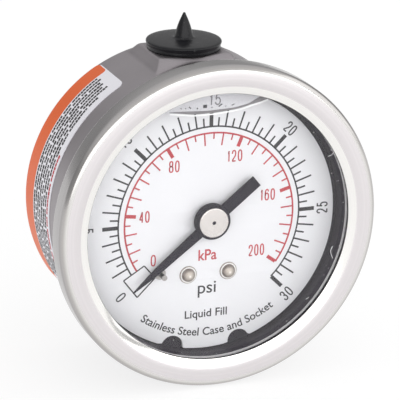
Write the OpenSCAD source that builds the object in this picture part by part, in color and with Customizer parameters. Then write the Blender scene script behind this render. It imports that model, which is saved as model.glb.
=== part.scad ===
// Bourdon tube pressure gauge with a liquid filled case and a centre back connection.
// The dial faces -Y, the stem points to +Y and the fill plug to +Z.
// The origin is on the gauge axis, at the shoulder where the stem's thread starts.

/* [Case and bezel] */
// Outside diameter of the bezel
bezel_d = 69.4; // [68.8:0.1:69.8]
// How far the bezel's front face stands before the dial face
bezel_front = 7.5; // [7.5:0.1:9]
// Opening of the bezel
bezel_opening_d = 57.3; // [56:0.1:58]
// Outside diameter of the case wall
case_d = 62.4; // [62:0.1:63]
// Wall thickness of the case
case_wall = 0.8; // [0.6:0.1:0.8]
// Depth of the case behind the dial face
case_depth = 26.8; // [26.8:0.1:30]
// Thickness of the window
window_t = 2; // [1.5:0.1:2]
// Height of the flat filling pad above the gauge axis
pad_height = 32.3; // [32.2:0.1:33]

/* [Dial and pointer] */
// Diameter of the dial plate
dial_d = 57.3; // [56:0.1:57.6]
// Angle of the pointer at rest, clockwise from the top
pointer_angle = -129.2; // [-129.2:0.1:-120]
// Reach of the pointer's tip from the gauge axis
pointer_reach = 22.1; // [18:0.1:24]
// Reach of the pointer's tail
tail_reach = 12.5; // [8:0.1:14]
// Angle of the stop pin, clockwise from the top
stop_angle = -134.8; // [-136:0.1:-134.8]

/* [Movement] */
// Radius of the tube's centre line
tube_radius = 21; // [20.8:0.1:21.4]
// Width of the tube along the gauge axis
tube_width = 8; // [7:0.1:8]
// Thickness of the tube across its bend
tube_thickness = 2.6; // [2.2:0.1:2.8]
// Wall thickness of the tube
tube_wall = 0.35; // [0.25:0.05:0.4]

/* [Connection] */
// Length of the threaded stem
thread_length = 15; // [12:1:18]
// Width across the wrench flats
flats_width = 14; // [13:0.5:14.5]
// Length of the wrench flats behind the case
flats_length = 9.2; // [8:0.1:12]

/* [Hidden] */
$fn = 96;

// Depths are measured from the dial's face: negative in front of it, positive behind it.
dial_y = -(case_depth + flats_length);
small = 0.01;

// Front assembly
bezel_r = bezel_d / 2;
bezel_sheet = 0.8;
opening_r = bezel_opening_d / 2;
case_r = case_d / 2;
case_inner_r = case_r - case_wall;
flange_r = bezel_r - bezel_sheet - 0.15;
flange_front = -3.4;
flange_rear = flange_front + case_wall;
gasket_t = 0.8;
window_rear = flange_front - gasket_t;
window_front = window_rear - window_t;
window_r = flange_r - 1.2;
ring_wall_r = 29;
ring_ledge_r = 25;
dial_t = 0.8;
notch_r = 2.4;
notch_angles = [165.5, 195.75];
notch_centre_r = 28.5;
fastener_x = 4.45;
fastener_z = -11.84;
fastener_spots = [[-fastener_x, fastener_z], [fastener_x, fastener_z]];

// Filling pad and plug
pad_front = 8.6;
pad_rear = 22.6;
pad_half_top = 8;
pad_half_foot = 9.4;
pad_foot_z = sqrt(case_r ^ 2 - pad_half_foot ^ 2);
pad_low_z = 27;
plug_depth = 16.2;
plug_hole_r = 4.05;
plug_stem_r = 4;
plug_rim_r = 7.95;
plug_low_z = 27.5;
cone_r = 1.9;
cone_h = 5.4;

// Fasteners on the dial
washer_r = 1.9;
washer_t = 0.25;
dome_r = 1.45;
dome_h = 1.1;
fastener_shank_r = 0.8;
fastener_rear = 3;

// Pointer
blade_front = -2;
blade_rear = -1.5;
boss_r = 3.8;
boss_front = -2.6;
boss_rear = -0.9;
cap_r = 3.2;
cap_front = -3;
bush_r = 1.2;
tail_half = 1.3;
stop_r = 15.3;
stop_post_r = 0.6;
stop_collar_r = 1.25;
stop_collar_front = -0.6;
stop_rivet_r = 0.5;

// Movement
gear_module = 0.25;
pinion_teeth = 12;
sector_wheel_teeth = 120;
pinion_r = gear_module * pinion_teeth / 2;
sector_r = gear_module * sector_wheel_teeth / 2;
pinion_front = 7.8;
pinion_rear = 10.2;
pinion_root_r = 1.16;
pinion_tip_r = 1.7;
sector_root_r = 14.72;
sector_tip_r = 15.16;
sector_rim_r = 12.9;
sector_direction = 125;
sector_at = clock(pinion_r + sector_r, sector_direction);
tail_length = 7.2;
tip_pin_at = [21.4, 2.5];
link_pin_r = 0.55;
plate_t = 1.2;
front_plate_front = 4;
back_plate_front = 13.2;
back_plate_rear = back_plate_front + plate_t;
sector_front = 8.6;
sector_rear = 9.4;
link_front = 9.5;
link_rear = 10.1;
lug_rear = 11.6;
open_hole_r = 0.75;
pillar_r = 1.3;
plate_screw_r = 0.6;
mounting_screw_r = 0.9;
pillar_spots = [[-6, 3.5], [14.5, 3.5], [-6, -7], [10.5, -13.2]];
mounting_spots = [[-3.3, -11], [3.3, -11]];
pinion_arbor_r = 0.6;
sector_arbor_r = 0.8;
running_gap = 0.05;

// Hairspring
spring_inner_r = 1.4;
spring_outer_r = 4.3;
spring_turns = 5;
spring_strip = 0.12;
spring_end_angle = 150;
spring_front = 11;
spring_rear = 11.8;

// Bourdon tube
tube_depth = 11;
tube_start = 182;
tube_span = 248;
tube_tip = tube_start + tube_span;

// Socket and its pipe thread
thread_d = 13.716;
thread_pitch = 1.411;
thread_root_depth = 0.9;
neck_r = 8;
arm_half = 5.5;
socket_disc_front = 21.5;
case_back_front = case_depth - case_wall;
back_screw_x = 12;
back_screw_r = 1.25;
back_screw_head_r = 2.6;
back_screw_head_h = 1.5;
inlet_r = 1.5;

// Side label
label_t = 0.15;
label_from = -125;
label_to = -29;
label_front = 10.3;
label_rear = 25.7;

function clock(r, a) = [r * sin(a), r * cos(a)];
function arc(c, r, from, to, steps = 8) =
    [for (i = [0 : steps]) let (a = from + (to - from) * i / steps)
        [c[0] + r * cos(a), c[1] + r * sin(a)]];

// Extrudes a shape drawn in X and Z, as seen from the front, between two depths
module slab(front, rear) {
    translate([0, dial_y + rear, 0])
        rotate([90, 0, 0])
            linear_extrude(height = rear - front)
                children();
}

// A round rod along the gauge axis, between two depths
module rod(r, front, rear, at = [0, 0]) {
    translate([at[0], dial_y + front, at[1]])
        rotate([-90, 0, 0])
            cylinder(r = r, h = rear - front);
}

// Turns a profile of radius and depth about an axis parallel to the gauge axis
module turned(at = [0, 0]) {
    translate([at[0], dial_y, at[1]])
        rotate([-90, 0, 0])
            rotate_extrude()
                children();
}

// Bends a profile of radius and depth about the gauge axis, clockwise from an angle
module bent(from, span) {
    translate([0, dial_y, 0])
        rotate([-90, 0, 0])
            rotate([0, 0, from - 90])
                rotate_extrude(angle = span)
                    children();
}

// Places a shape drawn pointing up at a clock angle
module at_clock(a) {
    rotate(-a)
        children();
}

// A bar with round ends between two points
module bar_2d(a, b, r) {
    run = b - a;
    translate(a)
        circle(r = r);
    translate(b)
        circle(r = r);
    translate(a)
        rotate(atan2(run[1], run[0]))
            translate([0, -r])
                square([norm(run), 2 * r]);
}

// A rectangle with round corners, from its lowest and highest corner
module round_rect_2d(low, high, r) {
    translate([low[0] + r, low[1]])
        square([high[0] - low[0] - 2 * r, high[1] - low[1]]);
    translate([low[0], low[1] + r])
        square([high[0] - low[0], high[1] - low[1] - 2 * r]);
    for (x = [low[0] + r, high[0] - r], z = [low[1] + r, high[1] - r])
        translate([x, z])
            circle(r = r);
}

// Outline of straight-sided gear teeth, clockwise about the gear's centre from a first angle
function toothed_edge(root_r, tip_r, root_half, tip_half, first, step, count) =
    [for (k = [0 : count - 1], p = [[root_r, -root_half], [tip_r, -tip_half],
        [tip_r, tip_half], [root_r, root_half]])
        clock(p[0], first + k * step + p[1])];

// A round-headed screw: the head's flat underside is at the given depth
module screw(head_r, head_h, shank_r, shank_length, under, at, slot_w) {
    difference() {
        union() {
            turned(at)
                polygon([[0, under - head_h], [head_r * 0.75, under - head_h],
                    [head_r, under - head_h * 0.6], [head_r, under], [0, under]]);
            rod(shank_r, under - small, under + shank_length, at);
        }
        slab(under - head_h - 1, under - head_h * 0.55)
            translate([at[0] - head_r - 1, at[1] - slot_w / 2])
                square([2 * head_r + 2, slot_w]);
    }
}

module case() {
    color("gray")
        difference() {
            union() {
                turned()
                    case_profile();
                filling_pad();
            }
            translate([0, dial_y + plug_depth, 0])
                cylinder(r = plug_hole_r, h = pad_height + 1);
            rod(neck_r + 0.1, case_back_front - 1, case_depth + 1);
            for (x = [-back_screw_x, back_screw_x])
                rod(back_screw_r + 0.35, case_back_front - 1, case_depth + 1, [x, 0]);
        }
}

// Flange, wall and back of the drawn case
module case_profile() {
    rim = 1;
    polygon(concat(
        [[case_inner_r, flange_front], [flange_r, flange_front], [flange_r, flange_rear],
            [case_r, flange_rear]],
        arc([case_r - rim, case_depth - rim], rim, 0, 90),
        [[0, case_depth], [0, case_back_front]],
        [[case_inner_r, case_back_front]]));
}

// Raised flat on the top of the case, around the filling hole
module filling_pad() {
    difference() {
        slab(pad_front, pad_rear)
            polygon([[-pad_half_foot, pad_low_z], [-pad_half_foot, pad_foot_z],
                [-pad_half_top, pad_height], [pad_half_top, pad_height],
                [pad_half_foot, pad_foot_z], [pad_half_foot, pad_low_z]]);
        rod(case_inner_r + case_wall / 2, pad_front - 1, pad_rear + 1);
    }
}

module bezel() {
    color("lightgray")
        turned()
            bezel_profile();
}

// Lip, front face, rounded edge, side and the edge crimped behind the flange
module bezel_profile() {
    edge = 1.5;
    crimp_r = case_r + 0.3;
    polygon(concat(
        [[opening_r, window_front], [opening_r, window_front - 0.3],
            [opening_r + 1.9, -bezel_front]],
        arc([bezel_r - edge, edge - bezel_front], edge, -90, 0),
        arc([bezel_r - 0.5, flange_rear + 0.2], 0.5, 0, 90, 4),
        [[crimp_r, flange_rear + 0.7], [crimp_r, flange_rear],
            [bezel_r - bezel_sheet, flange_rear], [bezel_r - bezel_sheet, window_front]]));
}

module window() {
    color("lightblue", 0.35)
        rod(window_r, window_front, window_rear);
}

module window_gasket() {
    color("black")
        turned()
            translate([case_inner_r + 0.1, window_rear])
                square([window_r - case_inner_r - 0.1, gasket_t]);
}

// Black ring that hides the case wall: a wall from the window to the dial and a ledge behind it
module dial_ring() {
    rear = dial_t + 0.8;
    color("dimgray")
        turned()
            polygon([[ring_wall_r, window_rear + 0.05], [case_inner_r - 0.05, window_rear + 0.05],
                [case_inner_r - 0.05, rear + 1], [case_inner_r - 0.6, rear + 1],
                [case_inner_r - 0.6, rear], [ring_ledge_r, rear], [ring_ledge_r, dial_t],
                [ring_wall_r, dial_t]]);
}

module dial() {
    color("white")
        slab(0, dial_t)
            difference() {
                circle(d = dial_d);
                circle(r = 2);
                for (a = notch_angles)
                    translate(clock(notch_centre_r, a))
                        circle(r = notch_r);
                for (p = fastener_spots)
                    translate(p)
                        circle(r = fastener_shank_r + 0.1);
                translate(clock(stop_r, stop_angle))
                    circle(r = stop_rivet_r);
            }
}

module dial_washers() {
    color("gainsboro")
        for (p = fastener_spots)
            turned(p)
                translate([fastener_shank_r + 0.1, -washer_t])
                    square([washer_r - fastener_shank_r - 0.1, washer_t]);
}

module dial_screws() {
    color("silver")
        for (p = fastener_spots) {
            turned(p)
                polygon(concat([[0, -washer_t]], [for (q = arc([0, 0], dome_r, 0, -90))
                    [q[0], q[1] * dome_h / dome_r - washer_t]]));
            rod(fastener_shank_r, -washer_t - small, fastener_rear, p);
        }
}

// Posts that stand on the front plate and carry the dial
module dial_posts() {
    color("goldenrod")
        for (p = fastener_spots)
            difference() {
                rod(2 * fastener_shank_r, dial_t, front_plate_front, p);
                rod(fastener_shank_r, dial_t - 1, fastener_rear + 0.2, p);
            }
}

module stop_pin() {
    at = clock(stop_r, stop_angle);
    color("silver") {
        rod(stop_collar_r, stop_collar_front, 0, at);
        rod(stop_post_r, cap_front - 0.3, stop_collar_front + small, at);
        rod(stop_rivet_r, -small, dial_t, at);
    }
}

module pointer() {
    color("black")
        difference() {
            union() {
                slab(blade_front, blade_rear)
                    at_clock(pointer_angle)
                        pointer_2d();
                rod(boss_r, boss_front, boss_rear);
            }
            rod(bush_r, cap_front, 0);
        }
}

// Pointer outline pointing up: a lance-shaped blade and a square-ended tail
module pointer_2d() {
    polygon([[-1.1, 0], [-0.8, 14], [-0.6, 17], [-0.08, pointer_reach], [0.08, pointer_reach],
        [0.6, 17], [0.8, 14], [1.1, 0]]);
    translate([-tail_half, -tail_reach])
        square([2 * tail_half, tail_reach]);
}

// Bright cap and bush that hold the pointer on its arbor
module pointer_hub() {
    color("gainsboro")
        difference() {
            union() {
                turned()
                    polygon([[0, cap_front], [cap_r - 0.3, cap_front], [cap_r, cap_front + 0.3],
                        [cap_r, boss_front], [0, boss_front]]);
                rod(bush_r, boss_front - small, -0.5);
            }
            rod(0.25, cap_front - 0.1, boss_front + 0.1);
            rod(pinion_arbor_r, boss_front + 0.2, 0);
        }
}

module pinion() {
    color("goldenrod") {
        slab(pinion_front, pinion_rear)
            polygon(toothed_edge(pinion_root_r, pinion_tip_r, 10, 2.7,
                sector_direction + 180 / pinion_teeth, 360 / pinion_teeth, pinion_teeth));
        rod(pinion_arbor_r, boss_front + 0.2, back_plate_rear - 0.1);
    }
}

module hairspring_collet() {
    color("goldenrod")
        difference() {
            rod(spring_inner_r - 0.05, 10.6, 12.2);
            rod(pinion_arbor_r, 10, 13);
        }
}

module hairspring() {
    color("darkgoldenrod")
        slab(spring_front, spring_rear)
            polygon(concat(spiral(spring_strip / 2, 0, 1), spiral(-spring_strip / 2, 1, -1)));
}

// Points along one side of the spiral, starting at a share of its length
function spiral(offset, start, way, steps = 150) =
    [for (i = [0 : steps])
        let (share = start + way * i / steps)
        let (r = spring_inner_r + (spring_outer_r - spring_inner_r) * share + offset + 0.08)
        clock(r, spring_end_angle - 360 * spring_turns * (1 - share))];

module hairspring_stud() {
    at = clock(spring_outer_r + 0.7, spring_end_angle);
    color("goldenrod")
        rod(0.5, 10.8, back_plate_front, at);
}

module sector_gear() {
    tail_at = sector_at + [tail_length, 0];
    color("gold")
        difference() {
            union() {
                slab(sector_front, sector_rear)
                    translate(sector_at)
                        sector_rim_2d();
                slab(sector_front, sector_rear)
                    translate(sector_at)
                        sector_arms_2d();
                slab(sector_front, sector_rear)
                    bar_2d(sector_at, tail_at, 1.4);
            }
            rod(sector_arbor_r, sector_front - 1, sector_rear + 1, sector_at);
            slab(sector_front - 1, sector_rear + 1)
                bar_2d(tail_at - [1.2, 0], tail_at, link_pin_r);
        }
}

sector_step = 360 / sector_wheel_teeth;
sector_first = -2;
sector_count = 13;
sector_to_pinion = sector_direction - 180;
sector_from = sector_to_pinion + sector_first * sector_step;
sector_to = sector_from + (sector_count - 1) * sector_step;
sector_mid = (sector_from + sector_to) / 2;

// Toothed rim about the sector's own centre
module sector_rim_2d() {
    difference() {
        polygon(concat([clock(8, sector_mid)],
            toothed_edge(sector_root_r, sector_tip_r, 0.78, 0.4, sector_from, sector_step,
                sector_count)));
        circle(r = sector_rim_r);
    }
}

// Hub, and two arms that join it to the rim
module sector_arms_2d() {
    circle(r = 2.4);
    for (a = [sector_from + 2, sector_to - 2])
        bar_2d([0, 0], clock(13.6, a), 0.9);
}

module sector_arbor() {
    color("silver")
        rod(sector_arbor_r, front_plate_front - 0.3, back_plate_rear - 0.1, sector_at);
}

// Screw that pins the link to the sector's tail
module tail_screw() {
    at = sector_at + [tail_length, 0];
    color("silver") {
        rod(link_pin_r, sector_front, link_rear + 0.1, at);
        rod(1.1, link_rear + 0.1 - small, link_rear + 0.7, at);
    }
}

link_from = sector_at + [tail_length, 0];

module link() {
    color("goldenrod")
        slab(link_front, link_rear)
            difference() {
                union() {
                    bar_2d(link_from, tip_pin_at, 0.9);
                    for (p = [link_from, tip_pin_at])
                        translate(p)
                            circle(r = 1.5);
                }
                translate(link_from)
                    circle(r = link_pin_r + running_gap);
                translate(tip_pin_at)
                    circle(r = open_hole_r);
            }
}

// Screw that holds the link to the tube's end
module tip_screw() {
    color("silver") {
        rod(1.2, link_front - 0.6, link_front - 0.1, tip_pin_at);
        rod(link_pin_r, link_front - 0.1 - small, lug_rear, tip_pin_at);
    }
}

// Cap that closes the tube, with a lug for the link
module tube_end() {
    cap_at = clock(tube_radius, tube_tip + 3);
    color("silver")
        difference() {
            union() {
                bent(tube_tip, 6)
                    tube_outline(0.25);
                slab(link_rear + 0.1, lug_rear) {
                    bar_2d(cap_at, tip_pin_at, 1.4);
                    translate(tip_pin_at)
                        circle(r = 1.5);
                }
            }
            rod(link_pin_r, link_rear - 1, 12, tip_pin_at);
        }
}

// Section of the tube, a flat oval, grown all round by a margin
module tube_outline(grow = 0) {
    r = tube_thickness / 2;
    bar_2d([tube_radius, tube_depth - tube_width / 2 + r],
        [tube_radius, tube_depth + tube_width / 2 - r], r + grow);
}

module bourdon_tube() {
    color("darkgoldenrod")
        bent(tube_start, tube_span)
            difference() {
                tube_outline();
                tube_outline(-tube_wall);
            }
}

module plate_2d() {
    difference() {
        round_rect_2d([-8.2, -15], [16.6, 5.6], 2);
        circle(r = pinion_arbor_r + running_gap);
        translate(sector_at)
            circle(r = sector_arbor_r + running_gap);
        for (p = pillar_spots)
            translate(p)
                circle(r = plate_screw_r);
    }
}

module front_plate() {
    color("gold")
        slab(front_plate_front, front_plate_front + plate_t)
            plate_2d();
}

module back_plate() {
    color("gold")
        slab(back_plate_front, back_plate_rear)
            difference() {
                plate_2d();
                for (p = mounting_spots)
                    translate(p)
                        circle(r = mounting_screw_r);
            }
}

module pillars() {
    color("goldenrod")
        for (p = pillar_spots)
            difference() {
                rod(pillar_r, front_plate_front + plate_t, back_plate_front, p);
                rod(plate_screw_r, front_plate_front, back_plate_rear, p);
            }
}

module plate_screws() {
    color("silver")
        for (p = pillar_spots)
            screw(2 * plate_screw_r, 0.7, plate_screw_r, 5, front_plate_front, p, 0.3);
}

module mounting_screws() {
    color("silver")
        for (p = mounting_spots)
            screw(1.5, 0.9, mounting_screw_r, 4.2, back_plate_front, p, 0.4);
}

module socket() {
    color("silver")
        difference() {
            union() {
                socket_block();
                rod(neck_r, case_back_front - small, case_depth + 1.2);
                wrench_flats();
                threaded_stem();
            }
            bent(tube_start, tube_span)
                tube_outline(0.02);
            passages();
            for (p = mounting_spots)
                rod(mounting_screw_r, back_plate_front, 17.6, p);
            for (x = [-back_screw_x, back_screw_x])
                rod(back_screw_r, socket_disc_front + 0.8, case_depth, [x, 0]);
            turned()
                translate([8.1, case_back_front - 0.9])
                    square([1.5, 2]);
        }
}

// Block inside the case: disc and ears for the screws, arm, and riser that takes the tube
module socket_block() {
    rod(10.4, socket_disc_front, case_back_front);
    slab(socket_disc_front, case_back_front)
        bar_2d([-back_screw_x, 0], [back_screw_x, 0], 4);
    slab(back_plate_rear, case_back_front)
        round_rect_2d([-arm_half, -26], [arm_half, 3], 1.5);
    slab(6, back_plate_rear + small)
        round_rect_2d([-arm_half, -26], [arm_half, -16], 1.5);
}

module wrench_flats() {
    intersection() {
        rod(neck_r - 0.1, case_depth + 1, case_depth + flats_length);
        slab(case_depth, case_depth + flats_length + 1)
            square(flats_width, center = true);
    }
}

// Thread drawn as grooves between crests of one radius, with a chamfered end
module threaded_stem() {
    crest = thread_d / 2;
    root = crest - thread_root_depth;
    flat = 0.18;
    turns = floor((thread_length - 1) / thread_pitch);
    start = -dial_y;
    turned()
        polygon(concat(
            [[0, start - small], [root, start - small], [root, start], [crest, start]],
            [for (i = [0 : turns - 1], p = [[crest, flat], [root, thread_pitch / 2],
                [root, thread_pitch / 2 + flat], [crest, thread_pitch]])
                [p[0], start + i * thread_pitch + p[1]]],
            [[crest, start + thread_length - 0.7], [crest - 0.7, start + thread_length],
                [0, start + thread_length]]));
}

// Drilled way from the stem's end to the tube's root
module passages() {
    down_at = 23.2;
    rod(inlet_r, down_at - 1.6, case_depth + flats_length + thread_length + 1);
    translate([0, dial_y + down_at, -tube_radius - 1.6])
        cylinder(r = 1.2, h = tube_radius + 2.2);
    rod(1, tube_depth, down_at + 0.8, [0, -tube_radius]);
}

module restrictor() {
    start = -dial_y + thread_length - 5;
    color("goldenrod")
        difference() {
            rod(inlet_r, start, start + 4.5);
            rod(0.25, start - 1, start + 6);
        }
}

module socket_oring() {
    color("black")
        turned()
            translate([8.85, case_back_front - 0.45])
                circle(r = 0.45, $fn = 32);
}

// Screws through the back of the case into the socket, heads outside
module back_screws() {
    color("silver")
        for (x = [-back_screw_x, back_screw_x])
            difference() {
                union() {
                    turned([x, 0])
                        polygon([[0, case_depth], [back_screw_head_r, case_depth],
                            [back_screw_head_r, case_depth + 0.8],
                            [back_screw_head_r - 0.7, case_depth + back_screw_head_h],
                            [0, case_depth + back_screw_head_h]]);
                    rod(back_screw_r, socket_disc_front + 1, case_depth + small, [x, 0]);
                }
                for (a = [0, 90])
                    slab(case_depth + 0.8, case_depth + 2)
                        translate([x, 0])
                            rotate(a)
                                square([2.8, 0.5], center = true);
            }
}

// Rubber plug: stem in the filling hole, waisted rim with a crowned top, and a cone to cut
module fill_plug() {
    seat = pad_height + 0.05;
    crown = seat + 2.1;
    tip_r = 0.3;
    color("black")
        translate([0, dial_y + plug_depth, 0])
            rotate_extrude()
                polygon(concat(
                    [[0, plug_low_z], [plug_stem_r - 0.6, plug_low_z],
                        [plug_stem_r, plug_low_z + 0.6], [plug_stem_r, seat],
                        [plug_rim_r - 0.25, seat], [plug_rim_r - 0.2, seat + 0.45],
                        [plug_rim_r - 0.35, seat + 0.65], [plug_rim_r, seat + 1.3],
                        [plug_rim_r - 0.1, seat + 1.6], [plug_rim_r - 0.7, seat + 1.85],
                        [cone_r, crown], [cone_r * 0.9, crown + cone_h * 0.3],
                        [cone_r * 0.5, crown + cone_h * 0.68]],
                    arc([0, crown + cone_h - tip_r], tip_r, 0, 90, 4)));
}

module side_label() {
    color("orange")
        bent(label_from, label_to - label_from)
            translate([case_r, label_front])
                square([label_t, label_rear - label_front]);
}

case();
bezel();
window();
window_gasket();
dial_ring();
dial();
dial_screws();
dial_washers();
dial_posts();
stop_pin();
pointer();
pointer_hub();
pinion();
hairspring_collet();
hairspring();
hairspring_stud();
sector_gear();
sector_arbor();
tail_screw();
link();
tip_screw();
tube_end();
bourdon_tube();
front_plate();
back_plate();
pillars();
plate_screws();
mounting_screws();
socket();
restrictor();
socket_oring();
back_screws();
fill_plug();
side_label();
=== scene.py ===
"""Looks of a liquid-filled pressure gauge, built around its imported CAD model.

Shapes are worked out in millimetres: x to the right, z up, and depth behind the dial's face
(negative in front of it). Clock angles are in degrees, clockwise from the top, seen from the front.
"""

import math
import random

import bmesh
import bpy
from mathutils import Matrix, Vector


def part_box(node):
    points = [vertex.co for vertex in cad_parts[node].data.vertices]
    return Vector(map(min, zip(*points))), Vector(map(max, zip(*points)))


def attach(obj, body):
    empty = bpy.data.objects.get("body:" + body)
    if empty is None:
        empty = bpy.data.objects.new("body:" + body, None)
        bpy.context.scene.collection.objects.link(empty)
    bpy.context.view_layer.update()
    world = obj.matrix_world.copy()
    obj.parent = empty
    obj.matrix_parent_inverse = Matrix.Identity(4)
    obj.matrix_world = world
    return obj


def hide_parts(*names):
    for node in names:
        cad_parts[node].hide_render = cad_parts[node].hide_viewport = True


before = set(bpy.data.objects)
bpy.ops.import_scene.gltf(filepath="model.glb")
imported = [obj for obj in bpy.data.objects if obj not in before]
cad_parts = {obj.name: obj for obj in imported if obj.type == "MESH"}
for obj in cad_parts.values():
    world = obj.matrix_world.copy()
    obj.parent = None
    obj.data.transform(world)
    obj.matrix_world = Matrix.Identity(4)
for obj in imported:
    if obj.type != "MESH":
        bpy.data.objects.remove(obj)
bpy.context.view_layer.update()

MM = 0.001
BODY = "gauge"
# The dial's face along y, in metres.
FACE_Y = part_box("dial")[0].y


def node_box(name):
    """Lowest and highest corner of a CAD node in millimetres, with depth in place of y."""
    low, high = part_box(name)
    shift = Vector((0, FACE_Y, 0))
    return (low - shift) / MM, (high - shift) / MM


DIAL_HIGH = node_box("dial")[1]
CASE_HIGH = node_box("case")[1]
BEZEL_LOW, BEZEL_HIGH = node_box("bezel")
WINDOW_LOW, WINDOW_HIGH = node_box("window")
LABEL_LOW, LABEL_HIGH = node_box("side_label")
PLUG_LOW, PLUG_HIGH = node_box("fill_plug")
RING_LOW, RING_HIGH = node_box("dial_ring")

DIAL_R = DIAL_HIGH.x
BEZEL_R = BEZEL_HIGH.x
FLANGE_R = CASE_HIGH.x
CASE_DEPTH = CASE_HIGH.y
PLUG_DEPTH = (PLUG_LOW.y + PLUG_HIGH.y) / 2
CASE_R = 31.2
PAD_TOP = 32.3
PLUG_HOLE_R = 4.05
RING_WALL_R = 28.85
SHEET = 0.8
# Degrees between points on a round edge, and the bend from which an edge is shaded as sharp.
ROUND_STEP = 1.5
SHARP = 35


# -------- plane geometry


def clock(radius, angle):
    """x and z of a point at a clock angle."""
    a = math.radians(angle)
    return (radius * math.sin(a), radius * math.cos(a))


def arc(centre, radius, start, end, steps):
    """Points along an arc; angles run from the first axis towards the second."""
    points = []
    for i in range(steps + 1):
        a = math.radians(start + (end - start) * i / steps)
        points.append((centre[0] + radius * math.cos(a), centre[1] + radius * math.sin(a)))
    return points


def steps_between(start, end, step):
    """Evenly spaced values from start to end, no further apart than step."""
    count = max(1, math.ceil(abs(end - start) / step - 1e-6))
    return [start + (end - start) * i / count for i in range(count + 1)]


def placed(x, depth, z):
    """A point of the gauge in the row's frame, in metres."""
    return (x * MM, FACE_Y + depth * MM, z * MM)


def placed_round(radius, angle, depth):
    """A point of the gauge at a clock angle, in the row's frame."""
    x, z = clock(radius, angle)
    return placed(x, depth, z)


# -------- meshes


def add_object(name, data):
    """A new object in the scene."""
    made = bpy.data.objects.new(name, data)
    bpy.context.scene.collection.objects.link(made)
    return made


def mesh_of(name, shape):
    """A mesh of a shape, with doubled points joined and every face turned outward."""
    mesh = bpy.data.meshes.new(name)
    mesh.from_pydata(shape.points, [], shape.faces)
    work = bmesh.new()
    work.from_mesh(mesh)
    bmesh.ops.remove_doubles(work, verts=work.verts, dist=1e-7)
    bmesh.ops.recalc_face_normals(work, faces=work.faces)
    work.to_mesh(mesh)
    work.free()
    return mesh


def make_piece(name, shape, material, body=BODY, sharp=SHARP, replaces=()):
    """Turns a shape into a shaded piece that rides on a body."""
    mesh = mesh_of(name, shape)
    mesh.shade_smooth()
    mesh.set_sharp_from_angle(angle=math.radians(sharp))
    mesh.materials.append(material)
    piece = add_object(name, mesh)
    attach(piece, body)
    if replaces:
        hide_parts(*replaces)
    return piece


class Shape:
    """Points and faces gathered from several solids, for one piece."""

    def __init__(self, points=(), faces=()):
        self.points = list(points)
        self.faces = list(faces)

    def join(self, other):
        """Adds another shape."""
        self.add(other.points, other.faces)

    def add(self, points, faces):
        """Adds points and the faces between them."""
        base = len(self.points)
        self.points.extend(points)
        self.faces.extend([tuple(base + i for i in face) for face in faces])

    def prism(self, outline, front, rear):
        """A straight prism over an outline of x and z, between two depths."""
        count = len(outline)
        points = [placed(x, front, z) for x, z in outline]
        points += [placed(x, rear, z) for x, z in outline]
        faces = [tuple(range(count)), tuple(range(2 * count - 1, count - 1, -1))]
        for i in range(count):
            j = (i + 1) % count
            faces.append((i, i + count, j + count, j))
        self.add(points, faces)

    def ring_sector(self, inner, outer, start, end, front, rear):
        """A flat band along an arc between two clock angles."""
        angles = steps_between(start, end, ROUND_STEP)
        corners = ((inner, front), (outer, front), (outer, rear), (inner, rear))
        points = [placed_round(radius, a, depth) for a in angles for radius, depth in corners]
        self.add(points, tube_faces(len(angles), 4, closed=False))

    def spoke(self, inner, outer, angle, width, front, rear):
        """A flat radial bar."""
        u = clock(1, angle)
        v = (u[1], -u[0])
        h = width / 2
        corners = ((inner, -h), (outer, -h), (outer, h), (inner, h))
        self.prism([(u[0] * r + v[0] * s, u[1] * r + v[1] * s) for r, s in corners], front, rear)

    def bar(self, a, b, width, front, rear):
        """A flat bar between two points."""
        run = Vector(b) - Vector(a)
        side = Vector((-run.y, run.x)).normalized() * (width / 2)
        ends = [Vector(a) + side, Vector(b) + side, Vector(b) - side, Vector(a) - side]
        self.prism([tuple(p) for p in ends], front, rear)

    def ribbon(self, line, width, front, rear, closed=False):
        """A flat stroke of even width along a line of points, with mitred bends."""
        count = len(line)
        points = []
        for i, here in enumerate(line):
            before = line[i - 1] if i or closed else here
            after = line[(i + 1) % count] if i < count - 1 or closed else here
            runs = [Vector(b) - Vector(a) for a, b in ((before, here), (here, after)) if a != b]
            sides = [Vector((-run.y, run.x)).normalized() for run in runs]
            middle = sum(sides, Vector((0, 0))).normalized()
            reach = width / 2 / max(middle.dot(sides[0]), 0.5)
            for x, depth in ((1, front), (-1, front), (-1, rear), (1, rear)):
                points.append(placed(here[0] + middle.x * reach * x, depth,
                                     here[1] + middle.y * reach * x))
        self.add(points, tube_faces(count, 4, closed))

    def strip(self, lower, upper, front, rear):
        """A flat area between two lines with the same number of points."""
        points = []
        for a, b in zip(lower, upper):
            for (x, z), depth in ((a, front), (b, front), (b, rear), (a, rear)):
                points.append(placed(x, depth, z))
        self.add(points, tube_faces(len(lower), 4, closed=False))


def tube_faces(rings, around, closed):
    """Quads over rings of points, with flat ends unless the rings close on themselves."""
    faces = []
    for i in range(rings if closed else rings - 1):
        j = (i + 1) % rings
        for k in range(around):
            m = (k + 1) % around
            faces.append((i * around + k, i * around + m, j * around + m, j * around + k))
    if not closed:
        faces.append(tuple(range(around - 1, -1, -1)))
        faces.append(tuple((rings - 1) * around + k for k in range(around)))
    return faces


def lathe(profile, segments, centre=(0, 0), upright=None):
    """Turns a closed profile of radius and depth about the gauge axis, or about a line parallel to
    it. With upright, the profile is radius and height and the axis is vertical at that depth."""
    points = []
    for i in range(segments):
        a = 2 * math.pi * i / segments
        for radius, along in profile:
            side, other = radius * math.sin(a), radius * math.cos(a)
            if upright is None:
                points.append(placed(centre[0] + side, along, centre[1] + other))
            else:
                points.append(placed(centre[0] + side, upright + other, along))
    return Shape(points, tube_faces(segments, len(profile), closed=True))


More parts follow.
